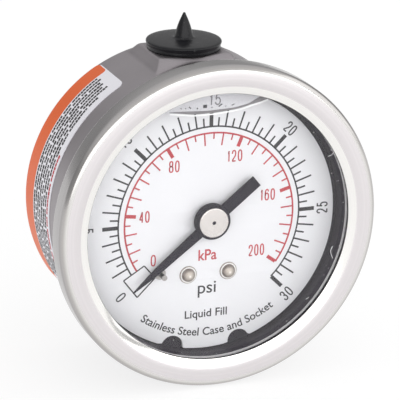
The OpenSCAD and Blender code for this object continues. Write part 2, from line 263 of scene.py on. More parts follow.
def filled(outlines, front, rear, bevel):
    """A flat plate with bevelled edges from closed outlines of x and z, the inner ones holes."""
    curve = bpy.data.curves.new("outline", "CURVE")
    curve.dimensions = "2D"
    curve.fill_mode = "BOTH"
    curve.extrude = (rear - front) / 2 - bevel
    curve.bevel_depth = bevel
    curve.bevel_resolution = 2
    curve.offset = -bevel
    for outline in outlines:
        spline = curve.splines.new("POLY")
        spline.points.add(len(outline) - 1)
        for point, (x, z) in zip(spline.points, outline):
            point.co = (x, z, 0, 1)
        spline.use_cyclic_u = True
    return plate_of(curve, (front + rear) / 2)


def plate_of(curve, depth):
    """Converts a flat curve or text to a shape whose middle lies at a depth."""
    holder = add_object("outline", curve)
    bpy.context.view_layer.update()
    made = holder.evaluated_get(bpy.context.evaluated_depsgraph_get()).to_mesh()
    points = [placed(v.co.x, depth - v.co.z, v.co.y) for v in made.vertices]
    shape = Shape(points, [tuple(p.vertices) for p in made.polygons])
    holder.to_mesh_clear()
    bpy.data.objects.remove(holder)
    bpy.data.curves.remove(curve)
    return shape


def smooth_line(points, parts=6):
    """A smooth line through given points, with so many steps between each two."""
    ends = [2 * Vector(points[0]) - Vector(points[1])] + [Vector(p) for p in points]
    ends.append(2 * Vector(points[-1]) - Vector(points[-2]))
    line = []
    for a, b, c, d in zip(ends, ends[1:], ends[2:], ends[3:]):
        for i in range(parts):
            t = i / parts
            line.append(tuple(0.5 * (2 * b + (c - a) * t + (2 * a - 5 * b + 4 * c - d) * t * t
                                     + (3 * b - a - 3 * c + d) * t * t * t)))
    line.append(tuple(points[-1]))
    return line


def loop(middle, half_width, half_height):
    """A closed oval with slightly squared shoulders, as in condensed figures."""
    steps = 28
    squareness = 0.8
    points = []
    for i in range(steps):
        a = 2 * math.pi * i / steps
        c, s = math.cos(a), math.sin(a)
        points.append((middle[0] + half_width * math.copysign(abs(c) ** squareness, c),
                       middle[1] + half_height * math.copysign(abs(s) ** squareness, s)))
    return points


# Front and rear depth of the dial's print, which is sunk a little into the plate.
INK = (-0.03, 0.02)

# Strokes of the figures in a box one wide and one high: (smoothed, closed, points).
FIGURES = {
    "0": [(False, True, loop((0.5, 0.5), 0.5, 0.5))],
    "1": [(False, False, [(0.62, 1.0), (0.62, 0.0)]),
          (True, False, [(0.1, 0.77), (0.42, 0.82), (0.58, 0.97)])],
    "2": [(True, False, [(0.0, 0.7), (0.12, 0.92), (0.5, 1.0), (0.88, 0.92), (0.98, 0.7),
                         (0.84, 0.5), (0.5, 0.3), (0.16, 0.12), (0.02, 0.0)]),
          (False, False, [(0.0, 0.0), (1.0, 0.0)])],
    "3": [(True, False, [(0.04, 0.76), (0.16, 0.94), (0.5, 1.0), (0.84, 0.93), (0.92, 0.75),
                         (0.8, 0.58), (0.42, 0.53)]),
          (True, False, [(0.42, 0.53), (0.84, 0.48), (1.0, 0.28), (0.86, 0.07), (0.5, 0.0),
                         (0.14, 0.07), (0.0, 0.26)])],
    "4": [(False, False, [(1.0, 0.27), (0.0, 0.27)]), (False, False, [(0.0, 0.27), (0.74, 1.0)]),
          (False, False, [(0.74, 1.0), (0.74, 0.0)])],
    "5": [(False, False, [(0.92, 1.0), (0.2, 1.0), (0.08, 0.5)]),
          (True, False, [(0.08, 0.5), (0.3, 0.62), (0.6, 0.65), (0.9, 0.54), (1.0, 0.33),
                         (0.88, 0.09), (0.5, 0.0), (0.14, 0.06), (0.0, 0.24)])],
    "6": [(True, False, [(0.94, 0.78), (0.8, 0.95), (0.52, 1.0), (0.2, 0.92), (0.04, 0.68),
                         (0.0, 0.4)]),
          (False, True, loop((0.5, 0.32), 0.5, 0.32))],
    "8": [(False, True, loop((0.5, 0.76), 0.43, 0.24)),
          (False, True, loop((0.5, 0.27), 0.5, 0.27))],
}


def number(shape, text, height, width, at, turn, stroke):
    """Draws figures of even stroke, centred on a point and turned clockwise."""
    gap = 0.3
    narrow = 0.66
    shares = [narrow if c == "1" else 1.0 for c in text]
    unit = width / (sum(shares) + gap * (len(text) - 1))
    along, rise = clock(1, turn + 90), clock(1, turn)
    left = -width / 2
    for c, share in zip(text, shares):
        wide = share * unit - stroke
        for smoothed, closed, points in FIGURES[c]:
            line = smooth_line(points, 4) if smoothed else points
            drawn = []
            for x, y in line:
                u = left + stroke / 2 + x * wide
                v = (y - 0.5) * (height - stroke)
                drawn.append((at[0] + along[0] * u + rise[0] * v,
                              at[1] + along[1] * u + rise[1] * v))
            shape.ribbon(drawn, stroke, *INK, closed=closed)
        left += (share + gap) * unit


def lettering(text, height, width, at, weight):
    """Flat upright letters fitted to a height and width and centred on a point."""
    curve = bpy.data.curves.new("letters", "FONT")
    curve.body = text
    curve.extrude = 0.5
    curve.offset = weight
    curve.resolution_u = 6
    raw = plate_of(curve, 0)
    xs = [p[0] / MM for p in raw.points]
    zs = [p[2] / MM for p in raw.points]
    across = width / (max(xs) - min(xs))
    up = height / (max(zs) - min(zs))
    mid = ((max(xs) + min(xs)) / 2, (max(zs) + min(zs)) / 2)
    points = []
    for x, y, z in raw.points:
        depth = INK[0] if y < FACE_Y else INK[1]
        points.append(placed(at[0] + (x / MM - mid[0]) * across, depth,
                             at[1] + (z / MM - mid[1]) * up))
    return Shape(points, raw.faces)


# -------- materials

# Height of fine surface marks, in metres.
FINE_RELIEF = 0.00001


def shade(grey):
    """A grey as a colour."""
    return (grey, grey, grey)


def scaled(color, factor):
    """A colour made darker or lighter."""
    return tuple(c * factor for c in color)


def fill_ramp(ramp, stops):
    """Gives a colour ramp its (place, colour) stops."""
    while len(ramp.elements) < len(stops):
        ramp.elements.new(0.5)
    for element, (place, color) in zip(ramp.elements, stops):
        element.position = place
        element.color = (*color, 1)


class Paint:
    """A Principled material and short ways to add nodes to it."""

    def __init__(self, name, color, roughness, metallic=0.0, **extra):
        self.material = bpy.data.materials.new(name)
        self.material.use_nodes = True
        self.tree = self.material.node_tree
        self.shader = self.tree.nodes["Principled BSDF"]
        self.set("Base Color", (*color, 1))
        self.set("Roughness", roughness)
        self.set("Metallic", metallic)
        for key, value in extra.items():
            self.set(key.replace("_", " "), value)

    def set(self, socket, value):
        """Gives an input of the shader a fixed value."""
        self.shader.inputs[socket].default_value = value

    def add(self, kind, settings=(), **inputs):
        """Adds a node; inputs are values or outputs, by name or as i and a number."""
        node = self.tree.nodes.new("ShaderNode" + kind)
        for key, value in dict(settings).items():
            setattr(node, key, value)
        for key, value in inputs.items():
            numbered = key[0] == "i" and key[1:].isdigit()
            socket = node.inputs[int(key[1:]) if numbered else key.replace("_", " ")]
            if isinstance(value, bpy.types.NodeSocket):
                self.tree.links.new(value, socket)
            else:
                socket.default_value = value
        return node

    def link(self, output, socket):
        """Feeds an input of the shader from a node."""
        self.tree.links.new(output, self.shader.inputs[socket])

    def where(self):
        """The place on the piece, in millimetres."""
        place = self.add("TexCoord").outputs["Object"]
        return self.add("VectorMath", {"operation": "SCALE"}, i0=place, Scale=1 / MM).outputs[0]

    def noise(self, place, scale, detail=3.0, rough=0.5):
        """Smooth random values; a larger scale is finer."""
        return self.add("TexNoise", Vector=place, Scale=scale, Detail=detail,
                        Roughness=rough).outputs["Fac"]

    def calc(self, operation, *values):
        """One step of arithmetic."""
        inputs = {f"i{n}": value for n, value in enumerate(values)}
        return self.add("Math", {"operation": operation}, **inputs).outputs[0]

    def between(self, factor, low, high):
        """Maps 0..1 to a range of numbers."""
        return self.add("MapRange", i0=factor, i3=low, i4=high).outputs[0]

    def zone(self, value, start, end):
        """Maps a range of numbers to 0..1."""
        return self.add("MapRange", i0=value, i1=start, i2=end).outputs[0]

    def bands(self, factor, *stops):
        """A colour along a factor, from (place, colour) stops."""
        ramp = self.add("ValToRGB", Fac=factor)
        fill_ramp(ramp.color_ramp, stops)
        return ramp.outputs[0]

    def tint(self, factor, low, high):
        """A colour between two, by a factor."""
        return self.bands(factor, (0.0, low), (1.0, high))

    def mixed(self, first, second, factor=1.0, blend="MIX"):
        """Two colours mixed."""
        mix = self.add("Mix", {"data_type": "RGBA", "blend_type": blend}, Factor=factor,
                       i6=first, i7=second)
        return mix.outputs[2]

    def split(self, place):
        """The x, y and z of a place."""
        return self.add("SeparateXYZ", Vector=place).outputs[:3]

    def length(self, a, b):
        """Length of a line from its two sides."""
        pair = self.add("CombineXYZ", X=a, Y=b).outputs[0]
        return self.add("VectorMath", {"operation": "LENGTH"}, i0=pair).outputs["Value"]

    def radius(self, place):
        """Distance from the gauge axis."""
        x, z = self.split(place)[::2]
        return self.length(x, z)

    def bump(self, height, strength, distance=FINE_RELIEF):
        """Fine relief from a height."""
        node = self.add("Bump", Height=height, Strength=strength, Distance=distance)
        self.link(node.outputs[0], "Normal")

    def turned_lines(self, place, scale):
        """Noise that runs round the gauge axis, as lathe and polishing marks do."""
        depth = self.split(place)[1]
        line = self.add("CombineXYZ", X=self.radius(place), Y=depth)
        return self.noise(line.outputs[0], scale, detail=5.0, rough=0.7)


def turned_metal(name, color, roughness, lines, scale):
    """Metal with marks of turning round the gauge axis and faint smudges."""
    spread = 0.08
    paint = Paint(name, color, roughness, metallic=1.0)
    place = paint.where()
    marks = paint.turned_lines(place, scale=scale)
    smudge = paint.noise(place, 0.12, detail=4.0)
    both = paint.calc("MULTIPLY_ADD", marks, 0.5, smudge)
    paint.link(paint.between(both, roughness - spread, roughness + spread), "Roughness")
    paint.link(paint.tint(both, scaled(color, 0.8), scaled(color, 1.06)), "Base Color")
    paint.bump(marks, lines)
    return paint.material


def cast_metal(name, color, roughness):
    """Metal of small parts: fine random grain and faint stains."""
    paint = Paint(name, color, roughness, metallic=1.0)
    place = paint.where()
    fine = paint.noise(place, 8.0, detail=4.0, rough=0.65)
    broad = paint.noise(place, 0.5, detail=2.0)
    paint.link(paint.between(fine, roughness - 0.08, roughness + 0.12), "Roughness")
    paint.link(paint.tint(broad, scaled(color, 0.8), color), "Base Color")
    paint.bump(fine, 0.15, 2 * FINE_RELIEF)
    return paint.material


def enamel(name, color, roughness, fleck=0.97):
    """Printed or painted surface with a faint orange peel, darker by fleck in broad patches."""
    paint = Paint(name, color, roughness)
    place = paint.where()
    peel = paint.noise(place, 2.5, detail=2.0)
    broad = paint.noise(place, 0.15, detail=2.0)
    paint.link(paint.tint(broad, scaled(color, fleck), color), "Base Color")
    paint.link(paint.between(peel, roughness - 0.05, roughness + 0.08), "Roughness")
    paint.bump(peel, 0.05)
    return paint.material


def rubber(name):
    """Moulded black rubber with a fine grain and a few specks of dust."""
    paint = Paint(name, (0.01, 0.01, 0.012), 0.4, Specular_IOR_Level=0.3)
    place = paint.where()
    grain = paint.noise(place, 5.0, detail=6.0, rough=0.7)
    dust = paint.noise(place, 0.9, detail=5.0, rough=0.75)
    bloom = paint.zone(dust, 0.6, 0.75)
    paint.link(paint.tint(bloom, (0.007, 0.007, 0.009), shade(0.12)), "Base Color")
    paint.link(paint.between(grain, 0.2, 0.42), "Roughness")
    paint.bump(grain, 0.35, 5 * FINE_RELIEF)
    return paint.material


def window_glass():
    """Clear pane that lets the lamps' light through to the dial."""
    paint = Paint("window_glass", (1, 1, 1), 0.0, Transmission_Weight=1.0, IOR=1.4)
    path = paint.add("LightPath")
    clear = paint.add("BsdfTransparent", Color=(1, 1, 1, 1))
    mix = paint.add("MixShader", Fac=path.outputs["Is Shadow Ray"], i1=paint.shader.outputs[0],
                    i2=clear.outputs[0])
    end = paint.tree.nodes["Material Output"]
    paint.tree.links.new(mix.outputs[0], end.inputs["Surface"])
    return paint.material


def bezel_steel():
    """Painted shade at the inner edge, polished lip with a painted reflection, satin face, rounded
    rim and painted shade on the side, with turned lines.
    """
    paint = Paint("bezel_steel", (0.8, 0.78, 0.785), 0.2, metallic=1.0)
    place = paint.where()
    marks = paint.turned_lines(place, scale=5.0)
    broad = paint.turned_lines(place, scale=1.5)
    start, end = 28.0, 35.0
    zone = paint.zone(paint.radius(place), start, end)
    # Tones by radius are painted light: painted shade in the crevice at the lip, a lighter polished
    # lip that is a painted reflection as well as real polish, and painted shade on the rim's outer
    # edge and on the side.
    polished, satin, side = (0.96, 0.945, 0.92), (0.77, 0.735, 0.745), (0.44, 0.425, 0.425)
    rim, edge = (0.76, 0.745, 0.725), (0.55, 0.53, 0.515)
    crevice_shade = (0.08, 0.075, 0.08)
    tone_and_painted_light = paint.bands(zone, (0.1, crevice_shade), (0.108, polished), (0.31, polished), (0.36, satin),
                       (0.72, satin), (0.8, rim), (0.88, edge), (0.955, side))
    worn = paint.tint(broad, shade(0.78), shade(1.06))
    paint.link(paint.mixed(tone_and_painted_light, worn, blend="MULTIPLY"), "Base Color")
    rough = paint.bands(zone, (0.31, shade(0.12)), (0.36, shade(0.3)), (0.72, shade(0.3)),
                        (0.82, shade(0.18)))
    grain = paint.between(marks, -0.05, 0.06)
    paint.link(paint.calc("ADD", rough, grain), "Roughness")
    paint.bump(marks, 0.1)
    return paint.material


def screw_steel(name, metallic, *stops):
    """Painted light and shade on the dial's two screws or washers, in rings about each screw."""
    paint = Paint(name, (0.7, 0.67, 0.64), 0.3, metallic=metallic)
    place = paint.where()
    x, z = paint.split(place)[::2]
    aside = paint.calc("SUBTRACT", paint.calc("ABSOLUTE", x), SCREW_X)
    below = paint.calc("SUBTRACT", z, SCREW_Z)
    zone = paint.zone(paint.length(aside, below), 0.0, ZONE_R)
    paint.link(paint.bands(zone, *stops), "Base Color")
    grain = paint.noise(place, 9.0)
    paint.link(paint.between(grain, 0.24, 0.4), "Roughness")
    paint.bump(grain, 0.1)
    return paint.material


def ring_black():
    """Black plastic with a painted highlight along its front inner edge, and a few pale specks."""
    black = (0.02, 0.015, 0.025)
    paint = Paint("ring_black", black, 0.4, Specular_IOR_Level=0.2)
    place = paint.where()
    # Pale at the front inner corner: a painted highlight.
    front = FACE_Y / MM + RING_LOW.y
    edge = paint.zone(paint.split(place)[1], front + 0.2, front + 0.26)
    lip = paint.zone(paint.radius(place), 29.2, 29.28)
    dark = paint.calc("MAXIMUM", edge, lip)
    cells = paint.add("TexVoronoi", {"feature": "F1"}, Vector=place, Scale=0.5)
    speck = paint.zone(cells.outputs["Distance"], 0.09, 0.06)
    tone_and_painted_light = paint.tint(dark, (0.6, 0.59, 0.6), black)
    paint.link(paint.mixed(tone_and_painted_light, (0.45, 0.44, 0.44, 1), factor=speck), "Base Color")
    peel = paint.noise(place, 2.5, detail=2.0)
    paint.link(paint.between(peel, 0.3, 0.45), "Roughness")
    paint.bump(peel, 0.08, 2 * FINE_RELIEF)
    return paint.material


def adjusted(material, socket, value):
    """The material with one more setting of its shader."""
    material.node_tree.nodes["Principled BSDF"].inputs[socket].default_value = value
    return material


# Place of the dial's screws beside the axis and below it, and the radius that their painted rings
# of light and shade fill.
SCREW_X, SCREW_Z = 4.45, -11.84
ZONE_R = 2.0

CASE_STEEL = turned_metal("case_steel", (0.35, 0.325, 0.34), 0.38, lines=0.12, scale=3.0)
BEZEL_STEEL = bezel_steel()
SOCKET_STEEL = turned_metal("socket_steel", (0.55, 0.54, 0.55), 0.32, lines=0.25, scale=4.0)
BRIGHT_STEEL = turned_metal("bright_steel", (0.72, 0.68, 0.66), 0.22, lines=0.15, scale=8.0)
PIN_STEEL = turned_metal("pin_steel", (0.4, 0.38, 0.37), 0.3, lines=0.15, scale=8.0)
BRASS = cast_metal("brass", (0.72, 0.5, 0.22), 0.3)
TUBE_ALLOY = cast_metal("tube_alloy", (0.5, 0.34, 0.2), 0.35)
RUBBER = rubber("rubber")
RING_BLACK = ring_black()
# Dome: a painted highlight at the centre fading to painted shade at the rim.
SCREW_DOME = screw_steel("screw_dome_painted_light", 0.7, (0.0, (0.85, 0.81, 0.77)), (0.2, (0.52, 0.47, 0.42)),
                         (0.5, (0.4, 0.35, 0.31)), (0.68, (0.24, 0.2, 0.18)))
# Washers: their own pale tone, with painted shade under the dome's edge and at the washer's rounded
# edge.
SCREW_WASHER = screw_steel("screw_washer", 0.0, (0.72, (0.3, 0.26, 0.24)), (0.76, (0.9, 0.9, 0.9)),
                           (0.83, (0.86, 0.84, 0.82)), (0.88, (0.3, 0.26, 0.23)))
DIAL_WHITE = enamel("dial_white", (0.79, 0.79, 0.815), 0.5, fleck=0.98)
PRINT_BLACK = enamel("print_black", (0.022, 0.02, 0.024), 0.7, fleck=0.8)
PRINT_RED = enamel("print_red", (0.5, 0.04, 0.055), 0.6, fleck=0.9)
POINTER_BLACK = adjusted(enamel("pointer_black", (0.016, 0.013, 0.022), 0.5, fleck=0.9),
                         "Specular IOR Level", 0.1)
LABEL_INK = enamel("label_ink", (0.03, 0.028, 0.03), 0.6, fleck=0.8)
LABEL_WHITE = enamel("label_white", (0.86, 0.85, 0.9), 0.4, fleck=0.95)
LABEL_ORANGE = enamel("label_orange", (0.8, 0.12, 0.01), 0.4, fleck=0.9)
# A painted dark band where the liquid's edge bends the light.
BUBBLE_EDGE_SHADE = enamel("bubble_edge_shade", (0.2, 0.19, 0.2), 0.3, fleck=0.8)
BUBBLE_GLINT = enamel("bubble_glint", (0.95, 0.95, 0.96), 0.3)
# Half-clear grey film over the air: painted shade.
BUBBLE_AIR_SHADE = adjusted(enamel("bubble_air_shade", (0.62, 0.61, 0.66), 0.3), "Alpha", 0.15)
GLASS = window_glass()


# -------- case and bezel


def smooth_least(a, b, width):
    """The smaller of two numbers, rounded off where they are closer than width."""
    near = max(width - abs(a - b), 0) / width
    return min(a, b) - near * near * width / 4


def smooth_most(a, b, width):
    """The larger of two numbers, rounded off where they are closer than width."""
    return -smooth_least(-a, -b, width)


def case_radius(angle, depth, plain):
    """Radius of the case's outer wall, with the raised filling pad blended in."""
    half_span = 40
    shoulder_x, foot_x = 7.9, 9.35
    pad_front, front_slope = 9.0, 1.2
    pad_rear, rear_slope = 22.2, 0.9
    if abs(angle) > half_span:
        return plain
    a = math.radians(abs(angle))
    shoulder = Vector((shoulder_x, PAD_TOP))
    foot = Vector((foot_x, math.sqrt(CASE_R ** 2 - foot_x ** 2)))
    run = foot - shoulder
    normal = Vector((-run.y, run.x)).normalized()
    side = normal.dot(shoulder) / (normal.x * math.sin(a) + normal.y * math.cos(a))
    top = PAD_TOP / math.cos(a)
    front = (PAD_TOP + (depth - pad_front) * front_slope) / math.cos(a)
    rear = (PAD_TOP - (depth - pad_rear) * rear_slope) / math.cos(a)
    pad = smooth_least(smooth_least(top, side, 0.7), smooth_least(front, rear, 0.4), 0.7)
    return smooth_most(plain, pad, 0.5)


def case_shell():
    """Drawn steel cup: flange, wall with the filling pad, rounded rear edge and back."""
    inner = CASE_R - SHEET
    rear = CASE_DEPTH
    corner = 1.3
    bend = 0.9
    flange = -3.4
    bend_front = flange + SHEET
    profile = [(inner, flange), (FLANGE_R, flange), (FLANGE_R, bend_front)]
    profile += arc((CASE_R + bend, bend_front + bend), bend, 270, 180, 5)
    walls = steps_between(-1.2, rear - corner, 0.4)
    profile += [(CASE_R, d) for d in walls]
    profile += arc((CASE_R - corner, rear - corner), corner, 0, 90, 7)[1:]
    profile += [(r, rear) for r in (26, 20, 14, 8.6)]
    profile += [(8.1, rear - SHEET / 2), (8.1, rear - SHEET), (20, rear - SHEET)]
    profile += arc((inner - 0.5, rear - 1.3), 0.5, 90, 0, 4)
    pad_edge = 42
    angles = steps_between(-pad_edge, pad_edge, 0.4)
    angles += steps_between(pad_edge, 360 - pad_edge, 2.0)[1:-1]
    points = []
    for angle in angles:
        for radius, depth in profile:
            on_wall = radius > CASE_R - 0.9 and -1.1 < depth < rear - 0.05
            shown = case_radius(angle, depth, radius) if on_wall else radius
            points.append(placed_round(shown, angle, depth))
    shape = Shape(points, tube_faces(len(angles), len(profile), closed=True))
    piece = make_piece("case_shell", shape, CASE_STEEL, replaces=["case"])
    cut_hole(piece, PLUG_HOLE_R, PLUG_DEPTH)


def cut_hole(piece, radius, depth):
    """Drills an upright hole through the top wall."""
    low, high = 20, PAD_TOP + 5
    profile = [(radius, low), (radius, high), (0.001, high), (0.001, low)]
    tool = add_object("drill", mesh_of("drill", lathe(profile, 72, upright=depth)))
    cut = piece.modifiers.new("hole", "BOOLEAN")
    cut.object = tool
    cut.operation = "DIFFERENCE"
    cut.solver = "EXACT"
    bpy.context.view_layer.update()
    result = bpy.data.meshes.new_from_object(
        piece.evaluated_get(bpy.context.evaluated_depsgraph_get()))
    piece.modifiers.clear()
    piece.data = result
    result.set_sharp_from_angle(angle=math.radians(SHARP))
    bpy.data.objects.remove(tool)


def bezel_ring():
    """Polished ring: bevelled lip, slightly crowned face, rounded edge and the rear crimp."""
    lip = 28.65
    front = BEZEL_LOW.y
    rear = BEZEL_HIGH.y
    seat = WINDOW_LOW.y
    edge = 1.5
    crimp = 0.6
    crimp_r = CASE_R + 0.3
    profile = [(lip, seat), (lip, seat - 0.35)]
    profile += arc((lip + 0.2, seat - 0.35), 0.2, 180, 245, 4)[1:]
    profile += [(29.6, front + 0.46), (30.3, front + 0.16)]
    profile += [(30.9, front + 0.03), (31.8, front), (32.5, front + 0.03)]
    profile += arc((BEZEL_R - edge, front + edge + 0.05), edge, 270, 360, 12)[1:]
    profile += [(BEZEL_R, rear - crimp)]
    profile += arc((BEZEL_R - 0.5, rear - 0.5), 0.5, 0, 90, 5)[1:]
    profile += [(crimp_r, rear), (crimp_r, rear - crimp), (BEZEL_R - SHEET, rear - crimp)]
    profile += [(BEZEL_R - SHEET, seat)]
    make_piece("bezel_ring", lathe(profile, 360), BEZEL_STEEL,
               replaces=["bezel"], sharp=40)


def inner_ring():
    """Black ring between window and dial, with its ledge behind the dial."""
    wall, ledge = RING_WALL_R, 25.0
    outer = RING_HIGH.x
    skirt = outer - 0.55
    front = RING_LOW.y
    rear = 1.6
    profile = [(wall, front + 0.2), (wall + 0.3, front), (outer, front), (outer, RING_HIGH.y)]
    profile += [(skirt, RING_HIGH.y), (skirt, rear), (ledge, rear)]
    profile += [(ledge, DIAL_HIGH.y), (wall - 0.1, DIAL_HIGH.y), (wall, DIAL_HIGH.y - 0.1)]
    make_piece("inner_ring", lathe(profile, 360), RING_BLACK,
               replaces=["dial_ring"])


# -------- dial

NOTCH_ANGLES = (165.5, 195.75)
NOTCH_R = 2.4
NOTCH_AT = 28.5
# Offset of the plate from the centre of its print, and the play round its edge.
DIAL_SHIFT = (-0.4, -0.25)
DIAL_GAP = 0.47


def circle(centre, radius, steps):
    """Points of a closed circle."""
    return arc(centre, radius, 0, 360, steps)[:-1]


def dial_outline():
    """Round edge with two half-round notches, as clock-ordered points."""
    points = []
    radius = DIAL_R - DIAL_GAP
    notch_steps = 24
    reach = math.degrees(2 * math.asin(NOTCH_R / (2 * DIAL_R)))
    angle = 0.0
    while angle < 360:
        notch = next((n for n in NOTCH_ANGLES if n - reach - 1 < angle < n + reach + 1), None)
        if notch is None:
            x, z = clock(radius, angle)
            points.append((x + DIAL_SHIFT[0], z + DIAL_SHIFT[1]))
            angle += ROUND_STEP
            continue
        for x, z in arc(clock(NOTCH_AT, notch), NOTCH_R, 180 - notch, 360 - notch, notch_steps):
            if math.hypot(x - DIAL_SHIFT[0], z - DIAL_SHIFT[1]) < radius:
                points.append((x, z))
        angle = notch + reach + ROUND_STEP
    return points


def dial_plate():
    """White plate with its centre hole and two screw holes."""
    screw_hole_r = 0.9
    holes = [circle((0, 0), 2.0, 48)]
    holes += [circle((side * SCREW_X, SCREW_Z), screw_hole_r, 24) for side in (1, -1)]
    shape = filled([dial_outline()] + holes, 0, DIAL_HIGH.y, bevel=0.06)
    make_piece("dial_plate", shape, DIAL_WHITE, replaces=["dial"], sharp=50)


WORD_WEIGHT = 0.012
ZERO = -135.0
SPAN = 270.0
FULL_PSI = 30
FULL_KPA = 200
KPA_PER_PSI = 6.894757
BOX_EDGE = -122.0


def psi_angle(psi):
    """Clock angle of a pressure."""
    return ZERO + SPAN * psi / FULL_PSI


def black_print():
    """Outer scale with its numerals, the zero box and the lower words."""
    shape = Shape()
    shape.ring_sector(19.83, 20.17, BOX_EDGE, psi_angle(FULL_PSI), *INK)
    foot = 20.12
    five_end, unit_end, half_end = 23.45, 23.75, 21.9
    thick, thin = 0.82, 0.35
    for half in range(4, 2 * FULL_PSI + 1):
        angle = psi_angle(half / 2)
        if half % 10 == 0:
            shape.spoke(foot, five_end, angle, thick, *INK)
        else:
            shape.spoke(foot, unit_end if half % 2 == 0 else half_end, angle, thin, *INK)
    zero_box(shape)
    # Radius and clock angle of each numeral.
    numerals = {0: (24.5, -128.4), 5: (26.6, -90), 10: (26.35, -45.3), 15: (25.75, 1.6),
                20: (25.15, 44.4), 25: (25.3, 90.2), 30: (25.6, 136)}
    for value, (radius, angle) in numerals.items():
        upright = abs(angle) < 80
        turn = angle if upright else angle + 180
        width = 1.2 if value < 10 else 2.55
        number(shape, str(value), 2.5, width, clock(radius, angle), turn, 0.29)
    words = [("psi", 3.35, 4.0, (-0.2, -15.5), 0.004),
             ("Liquid Fill", 2.3, 9.4, (-0.3, -21.0), WORD_WEIGHT)]
    for text, height, width, at, weight in words:
        shape.join(lettering(text, height, width, at, weight))
    curved_words(shape, "Stainless Steel Case and Socket", 24.8, 1.8, 71.0)
    make_piece("scale_black", shape, PRINT_BLACK)


def zero_box(shape):
    """Outline of the box in which the pointer rests at zero."""
    corners = [clock(16.7, BOX_EDGE), clock(22.0, BOX_EDGE), clock(22.1, ZERO), clock(16.6, ZERO)]
    for a, b in zip(corners, corners[1:] + corners[:1]):
        shape.bar(a, b, 0.28, *INK)


def curved_words(shape, text, radius, height, span):
    """Small words along the bottom of the dial, reading left to right."""
    width = math.radians(span) * radius
    flat = lettering(text, height, width, (0, 0), WORD_WEIGHT)
    points = []
    for x, y, z in flat.points:
        bent = clock(radius - z / MM, 180 - math.degrees(x / MM / radius))
        points.append((bent[0] * MM, y, bent[1] * MM))
    shape.add(points, flat.faces)


def red_print():
    """Inner scale with its numerals and unit."""
    shape = Shape()
    shape.ring_sector(18.44, 18.8, BOX_EDGE, psi_angle(FULL_KPA / KPA_PER_PSI), *INK)
    head = 18.5
    forty_end, ten_end, five_end = 16.3, 15.95, 17.3
    thick, thin = 0.76, 0.31
    for kpa in range(15, FULL_KPA + 5, 5):
        angle = psi_angle(kpa / KPA_PER_PSI)
        if kpa % 40 == 0:
            shape.spoke(forty_end, head, angle, thick, *INK)
        else:
            shape.spoke(ten_end if kpa % 10 == 0 else five_end, head, angle, thin, *INK)
    # Place and width of each numeral.
    numerals = {0: (-12.2, -7.9, 1.15), 40: (-14.3, 1.8, 2.3), 80: (-7.95, 12.1, 2.35),
                120: (5.35, 13.2, 3.35), 160: (12.9, 4.0, 3.3), 200: (10.7, -7.95, 3.5)}
    for value, (x, z, width) in numerals.items():
        number(shape, str(value), 2.55, width, (x, z), 0, 0.28)
    shape.join(lettering("kPa", 2.4, 4.05, (-0.2, -7.85), WORD_WEIGHT))
    make_piece("scale_red", shape, PRINT_RED)


def dial_fasteners():
    """Domed screws on pale washers."""
    dome_r, shank_r = 1.45, 0.8
    seat = -0.25
    flatness = 0.76
    domes = Shape()
    washers = Shape()
    for side in (-1, 1):
        centre = (side * SCREW_X, SCREW_Z)
        dome = [(0.001, -1.35)] + arc((0, seat), dome_r, 270, 340, 12)
        dome = [(max(r, 0.001), seat + (d - seat) * flatness) for r, d in dome]
        dome += [(dome_r, seat), (shank_r, -0.2), (shank_r, 3), (0.001, 3)]
        domes.join(lathe(dome, 72, centre))
        rim = [(0.9, -0.2), (1.55, seat), (1.8, -0.2), (1.9, -0.08), (1.9, 0), (0.9, 0)]
        washers.join(lathe(rim, 72, centre))
    make_piece("dome_screws", domes, SCREW_DOME, replaces=["dial_screws"])
    make_piece("screw_washers", washers, SCREW_WASHER,
               replaces=["dial_washers"])


# -------- air bubble

# Edges of the liquid's surface where it meets the back of the window, left to right.
SURFACE_LOW = [(-10.7, 25.05), (-8.04, 24.66), (-5.59, 24.31), (-3.14, 24.28), (-0.5, 24.31),
               (3.29, 24.62), (5.18, 24.91), (7.07, 25.39), (8.97, 25.78), (10.67, 26.28)]
SURFACE_HIGH = [(-10.7, 25.12), (-8.05, 25.03), (-5.6, 24.89), (-3.15, 24.77), (-0.51, 24.78),
                (3.28, 24.94), (5.17, 25.25), (6.31, 25.46), (7.6, 26.05), (9.2, 26.9)]

# Scale marks as the liquid's edge bends and breaks them up: from, to and width.
BUBBLE_MARKS = [((-3.45, 25.8), (-2.65, 25.8), 0.66), ((-6.55, 26.0), (-6.15, 25.6), 0.22),
                ((-0.1, 25.5), (0.65, 26.0), 0.22), ((-4.85, 25.45), (-4.6, 25.5), 0.26),
                ((-1.65, 25.4), (-1.45, 25.5), 0.2), ((-7.4, 25.75), (-7.15, 25.6), 0.16),
                ((-8.35, 25.8), (-8.15, 25.7), 0.14), ((2.75, 25.5), (3.35, 25.75), 0.13),
                ((1.35, 25.4), (1.55, 25.5), 0.14)]


